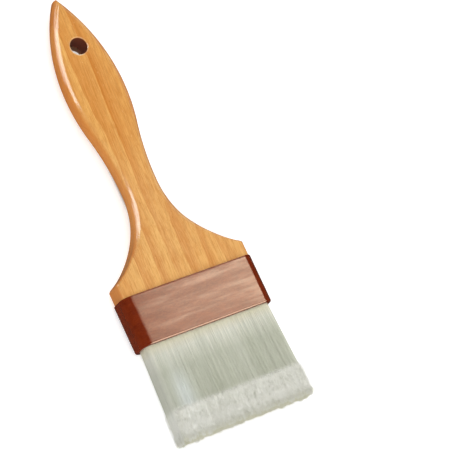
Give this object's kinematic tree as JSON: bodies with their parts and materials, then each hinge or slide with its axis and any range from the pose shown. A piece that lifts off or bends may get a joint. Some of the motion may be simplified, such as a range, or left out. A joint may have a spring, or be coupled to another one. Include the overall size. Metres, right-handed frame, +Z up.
{
  "type": "pastry brush",
  "caption": "Flat pastry brush with a shaped wooden handle, a hanging hole, a moulded ferrule and a wide pack of flexing filaments.",
  "frame": {"origin": "under the middle of the brush's length, on the surface that it lies on, face up", "axes": "+X across the brush, +Y along it towards the handle's tip, +Z up, out of its front face"},
  "size_m": [0.08, 0.246, 0.017],
  "materials": {
    "lacquered_wood": "gloss",
    "ferrule_plastic": "gloss",
    "resin": "gloss",
    "bare_wood": "matte",
    "nylon_filament": "satin"
  },
  "bodies": {
    "handle": {"handle": "lacquered_wood", "ferrule": "ferrule_plastic", "handle_adhesive": "resin", "epoxy_set": "resin", "spacer_plug": "bare_wood", "bristle_root_front": "nylon_filament", "bristle_root_rear": "nylon_filament"},
    "bristles": {"bristles_front": "nylon_filament", "bristles_rear": "nylon_filament"}
  },
  "joints": [
    {"name": "bristle_flex", "type": "hinge", "parent": "handle", "child": "bristles", "pos_m": [0, -0.0795, 0.0085], "axis": [1, 0, 0], "range_deg": [-35, 35], "stiffness_Nm_per_rad": 0.2}
  ]
}
